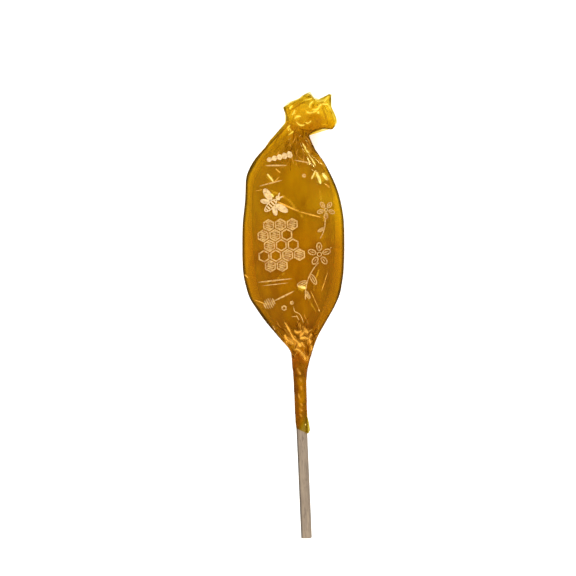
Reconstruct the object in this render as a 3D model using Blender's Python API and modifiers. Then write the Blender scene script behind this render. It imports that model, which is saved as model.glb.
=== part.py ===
"""A wrapped honey lollipop: a flat honey sweet in a bag of tinted film, on a round wooden stick.

It lies on its back on a table, in metres with +Z up. The stick runs along Y, its free end at -Y and
the film's twisted tuft at +Y. The origin is the middle of the footprint, on the table.
"""

import math
import random

import bmesh
import bpy
import numpy as np
from mathutils import Vector

MM = 0.001

# Driving dimensions in millimetres. "Along" is the distance from the stick's free end.
STICK_RADIUS = 2.0
STICK_LENGTH = 100.0
STICK_EDGE = 0.25
STICK_SIDES = 48
AXIS_HEIGHT = 6.5
SOCKET_GAP = 0.25
SOCKET_START = 30.0

# The bag's outline about the stick's axis: along, reach to the left, reach to the right, half thickness.
BAG_OUTLINE = (
    (40.3, 2.6, 3.0, 2.6),
    (45.0, 2.6, 2.7, 2.6),
    (55.0, 2.6, 2.8, 2.6),
    (62.0, 2.6, 3.1, 2.7),
    (69.4, 2.8, 5.2, 3.1),
    (75.0, 6.7, 7.6, 4.1),
    (81.5, 11.7, 11.8, 5.4),
    (86.3, 14.8, 14.8, 6.3),
    (92.0, 17.8, 16.9, 6.9),
    (102.0, 19.5, 18.6, 7.2),
    (117.5, 18.9, 19.3, 7.2),
    (128.0, 17.4, 17.9, 7.1),
    (135.5, 16.8, 15.3, 6.6),
    (142.0, 13.9, 12.9, 5.7),
    (148.0, 8.9, 8.7, 4.5),
    (153.2, 5.1, 5.1, 3.5),
)
SLEEVE_END = BAG_OUTLINE[0][0]
NECK = BAG_OUTLINE[-1][0]
NECK_SHIFT = 3.0
NECK_LEAN = math.radians(26.6)
SLEEVE_END_LEAN = math.radians(24.0)
# Sections are flat over the sweet with straight flanks down to a thin edge at each side, and round
# elsewhere. FLANK is how steeply they fall in a section one high and one wide.
FLANK = 1.7
FLANK_SHARPNESS = 4.5
# Sections as (from here along, at most this far apart), closest where the outline bends or folds run.
SECTION_SPACING = ((SLEEVE_END, 1.2), (45.0, 3.0), (66.0, 1.9), (92.0, 3.5), (134.0, 1.6))

# The twisted tuft above the neck: a flattened fan whose film edge stands up in ragged points.
TUFT_CENTRE = (8.2, 158.0)
TUFT_LEAN = math.radians(18.5)
TUFT_HALF_WIDTH = 10.5
TUFT_HALF_DEPTH = 3.0
# Film edge as (across, above the fan's chord), for the layer facing up and the one facing the table.
TUFT_TOP_EDGE = (
    (-10.5, 0.5), (-6.5, 4.6), (-3.6, 7.6), (0.8, 6.1), (5.6, 10.6),
    (6.6, 5.6), (8.6, 3.6), (9.9, 1.9), (10.5, -0.9),
)
TUFT_UNDER_EDGE = ((-10.5, 0.5), (-2.6, 8.8), (1.2, 5.8), (3.6, 7.4), (7.6, 3.8), (10.5, -0.9))
TUFT_ROUNDNESS = 0.8
TUFT_SECTIONS = (0.16, 0.34, 0.56, 0.79, 1.0)
# How much the twist pinches the tuft's foot, as a share of its reach, and the section where that ends.
TUFT_PINCH = 0.12
TUFT_PINCH_END = 0.75
# The hollow between the tuft's two layers: how near its floor is to the chord, and its size.
HOLLOW_FLOOR = 0.7
HOLLOW_SIZE = Vector((0.72, 0.72, 0.32))

# The gathered folds of film that run out of the neck and of the collar round the stick. Depths are
# shares of the bag's reach, and each pair is where along the bag a change starts and ends.
RING_POINTS = 64
FOLD_STEPS = (2, 3, 3, 4)
FOLD_SEED = 5
NECK_FOLD_DEPTH = 0.26
NECK_FOLDS = (134.0, NECK)
COLLAR_FOLD_DEPTH = 0.12
COLLAR_FOLDS_RISE = (60.0, 74.0)
COLLAR_FOLDS_FADE = (76.0, 92.0)
SLEEVE_FOLD_DEPTH = 0.03
SLEEVE_FOLDS_FADE = (60.0, 90.0)
TUFT_FOLD_DEPTH = 0.9
TWIST_STEPS = 6
COLLAR_TWIST = (45.0, 88.0)
NECK_TWIST = (138.0, NECK)
NECK_TURN = (143.0, NECK)
SLEEVE_TURN = (SLEEVE_END, 45.0)
FLANK_RISE = (70.0, 88.0)

HONEY_FILM = (0.72, 0.38, 0.02, 1.0)
PALE_WOOD = (0.48, 0.38, 0.29, 1.0)


def clear_scene():
    for obj in list(bpy.data.objects):
        bpy.data.objects.remove(obj)


def new_collection(name):
    collection = bpy.data.collections.new(name)
    bpy.context.scene.collection.children.link(collection)
    return collection


def material(name, colour, roughness):
    made = bpy.data.materials.new(name)
    made.use_nodes = True
    shader = made.node_tree.nodes["Principled BSDF"]
    shader.inputs["Base Color"].default_value = colour
    shader.inputs["Roughness"].default_value = roughness
    shader.inputs["Metallic"].default_value = 0.0
    return made


def rise(along, stretch):
    """0 before the stretch, 1 after it, and a smooth rise between its ends."""
    start, end = stretch
    share = min(max((along - start) / (end - start), 0.0), 1.0)
    return share * share * (3.0 - 2.0 * share)


def gentle_curve(stations, column):
    """A function through one column of the stations that never overshoots between two of them."""
    x = np.array([row[0] for row in stations], float)
    y = np.array([row[column] for row in stations], float)
    step = np.diff(x)
    grade = np.diff(y) / step
    before, after = grade[:-1], grade[1:]
    slope = np.zeros(len(x))
    same_way = before * after > 0
    slope[1:-1][same_way] = (2 * before * after)[same_way] / (before + after)[same_way]
    slope[0] = grade[0]
    slope[-1] = grade[-1]

    def value_at(along):
        i = int(np.clip(np.searchsorted(x, along) - 1, 0, len(step) - 1))
        t = (along - x[i]) / step[i]
        return (
            y[i] * (1 + 2 * t) * (1 - t) ** 2
            + y[i + 1] * t * t * (3 - 2 * t)
            + step[i] * (slope[i] * t * (1 - t) ** 2 - slope[i + 1] * t * t * (1 - t))
        )

    return value_at


def gathered_folds():
    """Fold height at each point round a ring, from 0 in a valley to 1 on a ridge, unevenly spaced."""
    draw = random.Random(FOLD_SEED)
    edges = [0]
    while edges[-1] < RING_POINTS - max(FOLD_STEPS):
        edges.append(edges[-1] + draw.choice(FOLD_STEPS))
    if len(edges) % 2:
        edges.pop()
    heights = [i % 2 for i in range(len(edges))]
    return np.interp(range(RING_POINTS), [*edges, RING_POINTS], [*heights, heights[0]])


def fold_depth(along):
    """How deep the folds cut into the bag here, as a share of its reach."""
    sleeve = SLEEVE_FOLD_DEPTH * (1 - rise(along, SLEEVE_FOLDS_FADE))
    collar = COLLAR_FOLD_DEPTH * rise(along, COLLAR_FOLDS_RISE) * (1 - rise(along, COLLAR_FOLDS_FADE))
    return sleeve + collar + NECK_FOLD_DEPTH * rise(along, NECK_FOLDS)


def ring_angles(along):
    """Each ring point's angle, from the right side up over the top. The twist turns it at both ends."""
    twist = TWIST_STEPS * (rise(along, NECK_TWIST) - 1 + rise(along, COLLAR_TWIST))
    return [2 * math.pi * (i + twist) / RING_POINTS for i in range(RING_POINTS)]


def flat_section(across):
    """Height of the flat section, 1 in the middle, at a share of its half width."""
    flank = FLANK * (1 - abs(across))
    return flank / (1 + flank**FLANK_SHARPNESS) ** (1 / FLANK_SHARPNESS)


def bag_ring(along, curves, folds):
    """One section of the bag: flat over the sweet, nearly round at the sleeve and the neck."""
    left, right, half_thick = (curve(along) for curve in curves)
    neck_share = rise(along, NECK_TURN)
    lean = SLEEVE_END_LEAN * (1 - rise(along, SLEEVE_TURN)) + NECK_LEAN * neck_share
    flat_share = rise(along, FLANK_RISE) * (1 - rise(along, NECK_TWIST))
    depth = fold_depth(along)
    ring = []
    for angle, fold in zip(ring_angles(along), folds):
        reach = 1 - depth * (1 - fold)
        across = math.cos(angle) * (right if math.cos(angle) > 0 else left) * reach
        height = abs(math.sin(angle)) * (1 - flat_share) + flat_section(math.cos(angle)) * flat_share
        lift = math.copysign(height, math.sin(angle)) * half_thick * reach
        x = NECK_SHIFT * neck_share + across * math.cos(lean)
        y = along - across * math.sin(lean)
        ring.append(Vector((x, y, max(AXIS_HEIGHT + lift, 0.0))))
    return ring


def tuft_edge(folds):
    """The film's ragged edge at the top of the tuft."""
    ring = []
    for angle, fold in zip(ring_angles(NECK), folds):
        across = TUFT_HALF_WIDTH * math.cos(angle)
        edge = TUFT_TOP_EDGE if math.sin(angle) > 0 else TUFT_UNDER_EDGE
        above = float(np.interp(across, [p[0] for p in edge], [p[1] for p in edge]))
        lift = TUFT_HALF_DEPTH * math.copysign(abs(math.sin(angle)) ** TUFT_ROUNDNESS, math.sin(angle))
        crumple = TUFT_FOLD_DEPTH * (2 * fold - 1) * abs(math.sin(angle))
        x = TUFT_CENTRE[0] + across * math.cos(TUFT_LEAN) + above * math.sin(TUFT_LEAN)
        y = TUFT_CENTRE[1] - across * math.sin(TUFT_LEAN) + above * math.cos(TUFT_LEAN)
        ring.append(Vector((x, y, AXIS_HEIGHT + lift + crumple)))
    return ring


def section_places():
    """Where along the bag its sections stand, from the sleeve's end to the neck."""
    ends = [start for start, _ in SECTION_SPACING[1:]] + [NECK]
    places = []
    for (start, step), end in zip(SECTION_SPACING, ends):
        places += list(np.linspace(start, end, math.ceil((end - start) / step) + 1)[:-1])
    return [*places, NECK]


def wrapper_rings():
    """All of the film's sections, from the sleeve's end to the hollow inside the tuft."""
    folds = gathered_folds()
    curves = [gentle_curve(BAG_OUTLINE, column) for column in (1, 2, 3)]
    rings = [bag_ring(along, curves, folds) for along in section_places()]
    neck = rings[-1]
    edge = tuft_edge(folds)
    for share in TUFT_SECTIONS:
        ring = [low.lerp(high, share) for low, high in zip(neck, edge)]
        middle = sum(ring, Vector()) / RING_POINTS
        pinched = 1 - TUFT_PINCH * math.sin(math.pi * min(share / TUFT_PINCH_END, 1))
        rings.append([middle + (point - middle) * pinched for point in ring])
    middle = sum(neck, Vector()) / RING_POINTS
    middle = middle.lerp(Vector((*TUFT_CENTRE, AXIS_HEIGHT)), HOLLOW_FLOOR)
    rings.append([middle + (point - middle) * HOLLOW_SIZE for point in edge])
    return rings


def wrapper_mesh():
    """Lofts the rings, closes the sleeve's end flat, and zips the tuft's two layers together."""
    made = bmesh.new()
    rows = [[made.verts.new(point * MM) for point in ring] for ring in wrapper_rings()]
    for low, high in zip(rows, rows[1:]):
        for i in range(RING_POINTS):
            j = (i + 1) % RING_POINTS
            made.faces.new((low[i], low[j], high[j], high[i]))
    made.faces.new(reversed(rows[0]))
    top = [rows[-1][(i - TWIST_STEPS) % RING_POINTS] for i in range(RING_POINTS)]
    half = RING_POINTS // 2
    for i in range(1, half - 1):
        made.faces.new((top[i], top[i + 1], top[-i - 1], top[-i]))
    made.faces.new((top[0], top[1], top[-1]))
    made.faces.new((top[half - 1], top[half], top[half + 1]))
    bmesh.ops.recalc_face_normals(made, faces=made.faces)
    mesh = bpy.data.meshes.new("wrapper")
    made.to_mesh(mesh)
    made.free()
    return mesh


def rod(name, radius, start, end, collection):
    """A cylinder along the stick's axis, between two places along it."""
    bpy.ops.mesh.primitive_cylinder_add(
        vertices=STICK_SIDES,
        radius=radius * MM,
        depth=(end - start) * MM,
        location=(0, (start + end) / 2 * MM, AXIS_HEIGHT * MM),
        rotation=(math.radians(90), 0, 0),
    )
    made = bpy.context.object
    made.name = made.data.name = name
    for owner in list(made.users_collection):
        owner.objects.unlink(made)
    collection.objects.link(made)
    return made


def make_stick(collection):
    """Birch dowel with its cut ends eased, reaching from its free end into the sweet."""
    stick = rod("stick", STICK_RADIUS, 0, STICK_LENGTH, collection)
    eased = stick.modifiers.new("eased_ends", "BEVEL")
    eased.width = STICK_EDGE * MM
    eased.segments = 2
    eased.limit_method = "ANGLE"
    stick.data.materials.append(material("birch", PALE_WOOD, 0.65))
    stick.data.shade_smooth()
    stick.data.set_sharp_from_angle(angle=math.radians(40))
    return stick


def make_wrapper(collection, cutters):
    """The film bag as the solid that it encloses, with a socket that clears the stick all round."""
    wrapper = bpy.data.objects.new("wrapper", wrapper_mesh())
    collection.objects.link(wrapper)
    socket_end = STICK_LENGTH + SOCKET_GAP
    socket = rod("stick_socket", STICK_RADIUS + SOCKET_GAP, SOCKET_START, socket_end, cutters)
    socket.hide_render = True
    socket.display_type = "WIRE"
    cut = wrapper.modifiers.new("stick_socket", "BOOLEAN")
    cut.operation = "DIFFERENCE"
    cut.solver = "EXACT"
    cut.object = socket
    wrapper.data.materials.append(material("honey_film", HONEY_FILM, 0.15))
    wrapper.data.shade_smooth()
    wrapper.data.set_sharp_from_angle(angle=math.radians(35))
    return wrapper, socket


def centre_on_table(measured, moved):
    """Moves everything: the measured objects' footprint is centred and their lowest point is at zero."""
    bpy.context.view_layer.update()
    graph = bpy.context.evaluated_depsgraph_get()
    points = []
    for obj in measured:
        shown = obj.evaluated_get(graph)
        points += [shown.matrix_world @ vertex.co for vertex in shown.data.vertices]
    low = Vector(map(min, *points))
    high = Vector(map(max, *points))
    for obj in moved:
        obj.location -= Vector(((low.x + high.x) / 2, (low.y + high.y) / 2, low.z))


clear_scene()
lollipop = new_collection("honey_lollipop")
cutters = new_collection("cutters")
stick = make_stick(lollipop)
wrapper, socket = make_wrapper(lollipop, cutters)
centre_on_table((stick, wrapper), (stick, wrapper, socket))
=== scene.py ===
import math
import random

import bpy
import numpy as np
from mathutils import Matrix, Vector
from mathutils.bvhtree import BVHTree


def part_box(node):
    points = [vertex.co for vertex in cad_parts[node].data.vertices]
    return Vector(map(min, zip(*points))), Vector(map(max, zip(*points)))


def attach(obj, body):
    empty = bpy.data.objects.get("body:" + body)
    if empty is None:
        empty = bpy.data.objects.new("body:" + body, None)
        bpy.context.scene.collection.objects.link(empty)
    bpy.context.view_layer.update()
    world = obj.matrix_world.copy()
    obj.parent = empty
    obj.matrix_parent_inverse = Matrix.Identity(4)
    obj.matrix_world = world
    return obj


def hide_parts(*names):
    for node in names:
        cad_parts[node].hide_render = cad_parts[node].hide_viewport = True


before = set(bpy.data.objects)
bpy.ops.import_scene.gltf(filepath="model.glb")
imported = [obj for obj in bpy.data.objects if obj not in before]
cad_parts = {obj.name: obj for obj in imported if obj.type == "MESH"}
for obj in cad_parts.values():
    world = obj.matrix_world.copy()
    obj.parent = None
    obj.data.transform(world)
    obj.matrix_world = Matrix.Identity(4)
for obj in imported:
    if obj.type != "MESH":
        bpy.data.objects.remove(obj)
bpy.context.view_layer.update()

# The view. The lollipop lies on its back and the camera looks straight down on it from 0.9 m, so that
# the stick's free end is near the picture's lower edge and the stick leans a little to the left.
MM = 0.001
stick_low, stick_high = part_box("stick")
AXIS_X = (stick_low[0] + stick_high[0]) / 2
AXIS_Z = (stick_low[2] + stick_high[2]) / 2
VIEW_ACROSS = -2.82
VIEW_ALONG = 93.97
PICTURE_WIDTH = 216 * MM
CAMERA_HEIGHT = 900 * MM
SENSOR = 36.0
LEAN = math.radians(2.53)
MOST_FILM_CROSSINGS = 32


def place(across, along, height=0.0):
    """A point from its distances in millimetres: right of the stick's axis, from its free end, above it."""
    return Vector((AXIS_X + across * MM, stick_low[1] + along * MM, AXIS_Z + height * MM))


view_point = place(VIEW_ACROSS, VIEW_ALONG)
view_point.z += CAMERA_HEIGHT
bpy.ops.object.camera_add(location=view_point, rotation=(0, 0, -LEAN))
camera = bpy.context.object
camera.name = "camera"
camera.data.lens = SENSOR * CAMERA_HEIGHT / PICTURE_WIDTH
bpy.context.scene.camera = camera
bpy.context.scene.view_settings.view_transform = "Standard"
bpy.context.scene.cycles.transparent_max_bounces = MOST_FILM_CROSSINGS


# The table is a sheet of opal acrylic, lit softly from beneath so that no shade shows on it. The studio
# round it is dim. Eight broad lights stand round the lollipop, and low keen ones glint in its creases.
TABLE_SIZE = 3000 * MM
TABLE_GAP = 0.05 * MM
OPAL_WHITE = "#f6f5f2"
TABLE_GLOW = 0.5
# How bright the studio is, from the horizon up: the sine of the height above it, and the brightness.
STUDIO_LIGHT = ((0.0, 0.12), (0.05, 0.40), (0.16, 0.16), (0.80, 0.12), (1.0, 0.06))
LIGHT_WIDTH = math.radians(45)
LIGHT_STRENGTH = 0.76
# Each light's direction in degrees: azimuth from +X and height above the table.
LIGHTS = ((40, 47), (74, 52), (108, 46), (143, 50), (218, 48), (250, 45), (284, 52), (322, 50))
GLINTS = ((28, 30), (62, 24))
GLINT_WIDTH = math.radians(9)
GLINT_STRENGTH = 0.32


def linear(colour):
    """A colour given as sRGB hex, as the linear red, green, blue and alpha that a shader takes."""
    parts = [int(colour[i : i + 2], 16) / 255 for i in (1, 3, 5)]
    return (*(p / 12.92 if p <= 0.04045 else ((p + 0.055) / 1.055) ** 2.4 for p in parts), 1.0)


def add_node(tree, kind, links=None, values=None, **settings):
    """Adds a node. Its links come from nodes' first outputs or from sockets, its values are its sockets'
    own, and its settings are its properties."""
    node = tree.nodes.new("ShaderNode" + kind)
    for name, setting in settings.items():
        setattr(node, name, setting)
    for socket, value in (values or {}).items():
        node.inputs[socket].default_value = value
    for socket, source in (links or {}).items():
        output = source.outputs[0] if hasattr(source, "outputs") else source
        tree.links.new(output, node.inputs[socket])
    return node


def set_stops(ramp, stops):
    """Gives a colour ramp its stops, each a position and a colour."""
    while len(ramp.elements) < len(stops):
        ramp.elements.new(1.0)
    for element, (position, colour) in zip(ramp.elements, stops):
        element.position = position
        element.color = colour


def new_material(name):
    """An empty material and its node tree."""
    made = bpy.data.materials.new(name)
    made.use_nodes = True
    made.node_tree.nodes.clear()
    return made, made.node_tree


def finish_material(tree, surface):
    """Sends a shader to the material's output."""
    add_node(tree, "OutputMaterial", {"Surface": surface})


bpy.ops.mesh.primitive_plane_add(size=TABLE_SIZE, location=(0, 0, -TABLE_GAP))
table = bpy.context.object
table.name = "table"
opal, tree = new_material("opal_acrylic")
frosted = add_node(
    tree,
    "BsdfPrincipled",
    values={
        "Base Color": linear(OPAL_WHITE),
        "Roughness": 0.9,
        "Emission Color": linear(OPAL_WHITE),
        "Emission Strength": TABLE_GLOW,
    },
)
finish_material(tree, frosted)
table.data.materials.append(opal)
# Its brightness isn't mirrored in the film's steep sides, so these stay dark.
table.visible_glossy = False

studio = bpy.data.worlds.new("studio")
studio.use_nodes = True
tree = studio.node_tree
direction = add_node(tree, "TexCoord")
height = add_node(tree, "SeparateXYZ", {"Vector": direction.outputs["Generated"]})
glow = add_node(tree, "ValToRGB", {"Fac": height.outputs["Z"]})
set_stops(glow.color_ramp, [(sine, (level, level, level, 1.0)) for sine, level in STUDIO_LIGHT])
tree.links.new(glow.outputs["Color"], tree.nodes["Background"].inputs["Color"])
bpy.context.scene.world = studio


def far_light(name, azimuth, height, width, strength):
    """A round light far off in a direction, as wide as the angle that it is seen under."""
    turn = math.radians(azimuth)
    climb = math.radians(height)
    away = Vector((math.cos(turn) * math.cos(climb), math.sin(turn) * math.cos(climb), math.sin(climb)))
    bpy.ops.object.light_add(type="SUN", location=away)
    light = bpy.context.object
    light.name = name
    light.rotation_euler = away.to_track_quat("Z", "Y").to_euler()
    light.data.angle = width
    light.data.energy = strength
    return light


for azimuth, height in LIGHTS:
    light = far_light(f"light_{azimuth}", azimuth, height, LIGHT_WIDTH, LIGHT_STRENGTH)
    light.visible_glossy = False
for azimuth, height in GLINTS:
    glint = far_light(f"glint_{azimuth}", azimuth, height, GLINT_WIDTH, GLINT_STRENGTH)
    glint.visible_diffuse = False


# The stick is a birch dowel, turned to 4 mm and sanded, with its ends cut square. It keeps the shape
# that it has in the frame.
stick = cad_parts["stick"]
BIRCH_PALE = "#988670"
BIRCH_DARK = "#80705f"
BIRCH_PORE = "#615040"
BIRCH_PAINTED_SHADE = "#453c32"
FIBRE_WIDTH = 0.35 * MM
FIBRE_STRETCH = 12.0
PORE_WIDTH = 0.22 * MM
# Where the painted shade down the stick's left side starts and is full, left of its axis, and how much of it
# shows.
LEFT_SHADE_START = 1.3 * MM
LEFT_SHADE_FULL = 1.8 * MM
LEFT_SHADE_SHARE = 0.9

# Birch: pale, close-grained wood. Sanding leaves it matt, with fine fibres and short pores lengthwise.
birch, tree = new_material("sanded_birch")
spot = add_node(tree, "TexCoord").outputs["Object"]
grain_spot = add_node(tree, "Mapping", {"Vector": spot}, {"Scale": (1, 1 / FIBRE_STRETCH, 1)})
grain = {}
for name, width, detail in (
    ("fibres", FIBRE_WIDTH, 4.0),
    ("bands", 4 * FIBRE_WIDTH, 2.0),
    ("pores", PORE_WIDTH, 1.0),
):
    noise = add_node(tree, "TexNoise", {"Vector": grain_spot}, {"Scale": 1 / width, "Detail": detail})
    grain[name] = noise.outputs["Fac"]
mixed = add_node(tree, "Math", {0: grain["fibres"], 1: grain["bands"]}, operation="ADD")
wood_tone = add_node(tree, "MapRange", {"Value": mixed}, {"From Min": 0.75, "From Max": 1.25})
wood = add_node(
    tree, "Mix", {"Factor": wood_tone}, {6: linear(BIRCH_DARK), 7: linear(BIRCH_PALE)}, data_type="RGBA"
)
pore_mask = add_node(tree, "MapRange", {"Value": grain["pores"]}, {"From Min": 0.62, "From Max": 0.74})
# Painted shade: the dowel is darkened down its left side, where shade falls.
sides = add_node(tree, "SeparateXYZ", {"Vector": spot})
left_shade_share = add_node(
    tree,
    "MapRange",
    {"Value": sides.outputs["X"]},
    {"From Min": AXIS_X - LEFT_SHADE_START, "From Max": AXIS_X - LEFT_SHADE_FULL, "To Max": LEFT_SHADE_SHARE},
)
for share, colour in ((pore_mask, BIRCH_PORE), (left_shade_share, BIRCH_PAINTED_SHADE)):
    wood = add_node(
        tree, "Mix", {"Factor": share, 6: wood.outputs[2]}, {7: linear(colour)}, data_type="RGBA"
    )
relief = add_node(tree, "Bump", {"Height": grain["fibres"]}, {"Strength": 0.35, "Distance": 0.08 * MM})
sanded = add_node(
    tree, "BsdfPrincipled", {"Base Color": wood.outputs[2], "Normal": relief}, {"Roughness": 0.68}
)
finish_material(tree, sanded)
stick.data.materials.clear()
stick.data.materials.append(birch)


# The sweet is honey boiled to a hard amber glass, poured by hand round the stick's end: a flat oval,
# fullest towards the tuft and drawn out to a point on the stick. It is shaped from a ball.
SWEET_START = 73.5
SWEET_END = 144.5
SWEET_HALF_THICKNESS = 6.0
# Its half widths to the left and the right of the stick's axis, at four places along it.
SWEET_HALF_WIDTHS = ((83.8, 10.2, 9.0), (111.8, 15.3, 15.7), (130.5, 14.5, 15.0), (140.3, 10.6, 10.8))
HONEY_DEEP = "#b39924"
HONEY_PALE = "#d6c43f"
HONEY_RIM_GLOW = "#e5cd59"
CLOUD_WIDTH = 5 * MM
RIM_BREADTH = 0.55
TUFT_END_GLOW = 0.45


def points_of(mesh):
    """A mesh's points as an array of rows."""
    rows = np.empty(len(mesh.vertices) * 3)
    mesh.vertices.foreach_get("co", rows)
    return rows.reshape(-1, 3)


def move_points(mesh, rows):
    """Puts the points of a mesh at the places in an array of rows."""
    mesh.vertices.foreach_set("co", np.asarray(rows, float).ravel())
    mesh.update()


def store_on_points(mesh, name, values):
    """Keeps a value for each point of a mesh, for its material to read."""
    stored = mesh.attributes.new(name, "FLOAT", "POINT")
    stored.data.foreach_set("value", np.asarray(values, float))


def half_width_rule(column):
    """The cubic that makes a ball's half width pass through one column of the sweet's half widths."""
    length = SWEET_END - SWEET_START
    lengthwise = [(2 * row[0] - SWEET_START - SWEET_END) / length for row in SWEET_HALF_WIDTHS]
    ratios = [row[column] / math.sqrt(1 - at**2) for row, at in zip(SWEET_HALF_WIDTHS, lengthwise)]
    return np.polyfit(lengthwise, ratios, 3)


bpy.ops.mesh.primitive_uv_sphere_add(segments=128, ring_count=72, radius=1, rotation=(math.radians(90), 0, 0))
sweet = bpy.context.object
sweet.name = "sweet"
bpy.ops.object.transform_apply(location=True, rotation=True, scale=True)
ball = points_of(sweet.data)
lengthwise = ball[:, 1]
reach = np.where(
    ball[:, 0] < 0,
    np.polyval(half_width_rule(1), lengthwise),
    np.polyval(half_width_rule(2), lengthwise),
)
middle = place(0, (SWEET_START + SWEET_END) / 2)
half_length = (SWEET_END - SWEET_START) / 2
half_size = np.array([(half_width, half_length, SWEET_HALF_THICKNESS) for half_width in reach]) * MM
move_points(sweet.data, np.array(middle) + ball * half_size)
bpy.ops.object.shade_smooth()
# How much painted glow each point gets: at the rim, and at the tuft's end, which is painted pale too.
rim_glow = np.clip(1 - np.abs(ball[:, 2]) / RIM_BREADTH, 0, 1)
tuft_end_glow = TUFT_END_GLOW * np.clip((lengthwise - 0.1) / 0.7, 0, 1)
store_on_points(sweet.data, "rim_glow", np.maximum(rim_glow, tuft_end_glow))

# Boiled honey: a clear amber glass with fine clouds and streaks of air in it, glossy where it has set. Its
# rim and the tuft's end are painted paler, a painted glow as of light through thin honey that also lifts the
# shade there.
honey, tree = new_material("boiled_honey")
spot = add_node(tree, "TexCoord").outputs["Object"]
streak_spot = add_node(tree, "Mapping", {"Vector": spot}, {"Scale": (1, 0.4, 1)})
clouds = add_node(tree, "TexNoise", {"Vector": streak_spot}, {"Scale": 1 / CLOUD_WIDTH, "Detail": 5.0})
cloud_tone = add_node(
    tree, "MapRange", {"Value": clouds.outputs["Fac"]}, {"From Min": 0.35, "From Max": 0.65}
)
amber = add_node(
    tree, "Mix", {"Factor": cloud_tone}, {6: linear(HONEY_DEEP), 7: linear(HONEY_PALE)}, data_type="RGBA"
)
rim = add_node(tree, "Attribute", attribute_name="rim_glow")
amber_with_glow = add_node(
    tree,
    "Mix",
    {"Factor": rim.outputs["Fac"], 6: amber.outputs[2]},
    {7: linear(HONEY_RIM_GLOW)},
    data_type="RGBA",
)
waves = add_node(tree, "Bump", {"Height": clouds.outputs["Fac"]}, {"Strength": 0.2, "Distance": 0.3 * MM})
glassy = add_node(
    tree,
    "BsdfPrincipled",
    {"Base Color": amber_with_glow.outputs[2], "Normal": waves},
    {
        "Roughness": 0.35,
        "Subsurface Weight": 0.3,
        "Subsurface Radius": (1.0, 0.5, 0.15),
        "Subsurface Scale": 3 * MM,
    },
)
finish_material(tree, glassy)
sweet.data.materials.append(honey)
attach(sweet, "root")


# The bag is one sheet of amber cellophane rolled round the sweet, twisted above it and wound round the
# stick below. Its form is the frame's, opened at both ends, and the creases are pressed into that.
SOCKET_REACH = 2.35
SOCKET_END = 101.0
SLEEVE_END = 40.3
SLEEVE_TOP = 62.0
COLLAR = 66.0
NECK_SHIFT = 3.0
NECK = 153.2
NECK_LEAN = math.radians(26.6)
TUFT_LEAN = math.radians(18.5)
LONGEST_ROW = 1.5 * MM
FILM_SEED = 11
# The shares of a crease's length over which it rises and fades, and how many half widths its fold reaches.
CREASE_RISE = 0.3
CREASE_FADE = 0.7
FOLD_REACH = 2.5
film = bpy.data.objects.new("film_bag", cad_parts["wrapper"].data.copy())
bpy.context.scene.collection.objects.link(film)
bpy.context.view_layer.objects.active = film
sweet.select_set(False)
film.select_set(True)
bpy.ops.object.mode_set(mode="EDIT")
bpy.ops.mesh.select_all(action="SELECT")
bpy.ops.mesh.remove_doubles(threshold=0.001 * MM)
bpy.ops.mesh.customdata_custom_splitnormals_clear()
bpy.ops.mesh.tris_convert_to_quads(face_threshold=math.pi, shape_threshold=math.pi)
bpy.ops.mesh.select_all(action="DESELECT")
bpy.ops.mesh.select_mode(type="FACE")
bpy.ops.object.mode_set(mode="OBJECT")
# The faces that line the socket and close the sleeve and the tuft go.
tuft_way = Vector((math.sin(TUFT_LEAN), math.cos(TUFT_LEAN), 0))
for face in film.data.polygons:
    centre = face.center
    from_axis = math.hypot(centre.x - AXIS_X, centre.z - AXIS_Z)
    in_socket = from_axis < SOCKET_REACH * MM and centre.y < place(0, SOCKET_END).y
    at_sleeve_end = centre.y < place(0, SLEEVE_END + 4).y and face.normal.y < -0.6
    above_neck = centre.y > place(0, NECK + 0.5).y
    faces_inwards = face.normal.z * (centre.z - AXIS_Z) < -0.1 * MM
    inside_tuft = above_neck and (face.normal.dot(tuft_way) > 0.8 or faces_inwards)
    face.select = in_socket or at_sleeve_end or inside_tuft
bpy.ops.object.mode_set(mode="EDIT")
bpy.ops.mesh.delete(type="FACE")
bpy.ops.mesh.select_mode(type="EDGE")
bpy.ops.object.mode_set(mode="OBJECT")
# Long rows are cut in two, so that creases have points to move everywhere.
for edge in film.data.edges:
    low, high = (film.data.vertices[i].co for i in edge.vertices)
    rise = abs(high.y - low.y)
    below_neck = min(low.y, high.y) < place(0, NECK - 3).y
    edge.select = rise > LONGEST_ROW and rise > 0.7 * (high - low).length and below_neck
bpy.ops.object.mode_set(mode="EDIT")
bpy.ops.mesh.subdivide(number_cuts=1)
bpy.ops.object.mode_set(mode="OBJECT")
finer = film.modifiers.new("finer", "SUBSURF")
finer.levels = 2
finer.render_levels = 2
bpy.ops.object.modifier_apply(modifier="finer")
bpy.ops.object.shade_smooth()
film.data.materials.clear()


def smooth_step(values, start, end):
    """0 before start, 1 after end, and a smooth rise between them."""
    share = np.clip((values - start) / (end - start), 0.0, 1.0)
    return share * share * (3 - 2 * share)


def smooth_fall(values, start, end):
    """1 before start, 0 after end, and a smooth fall between them."""
    return 1 - smooth_step(values, start, end)


def crease(flat, start, end, half_width, height, sharp_start=False):
    """What a straight crease adds to points seen from above: a lift, and the film folded under one side."""
    span = np.subtract(end, start)
    length = math.hypot(*span)
    step = (flat - start) @ span / length**2
    off = (flat - start) @ (-span[1], span[0]) / length
    inside = (step > 0) & (step < 1)
    rise = 1.0 if sharp_start else np.clip(step / CREASE_RISE, 0, 1)
    fade = inside * np.minimum(rise, np.clip((1 - step) / CREASE_FADE, 0, 1))
    ridge = 0.5 + 0.5 * np.cos(math.pi * np.clip(np.abs(off) / half_width, 0, 1))
    under = fade * (off > 0) * np.clip(1 - off / (FOLD_REACH * half_width), 0, 1)
    return height * fade * ridge, under


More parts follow.
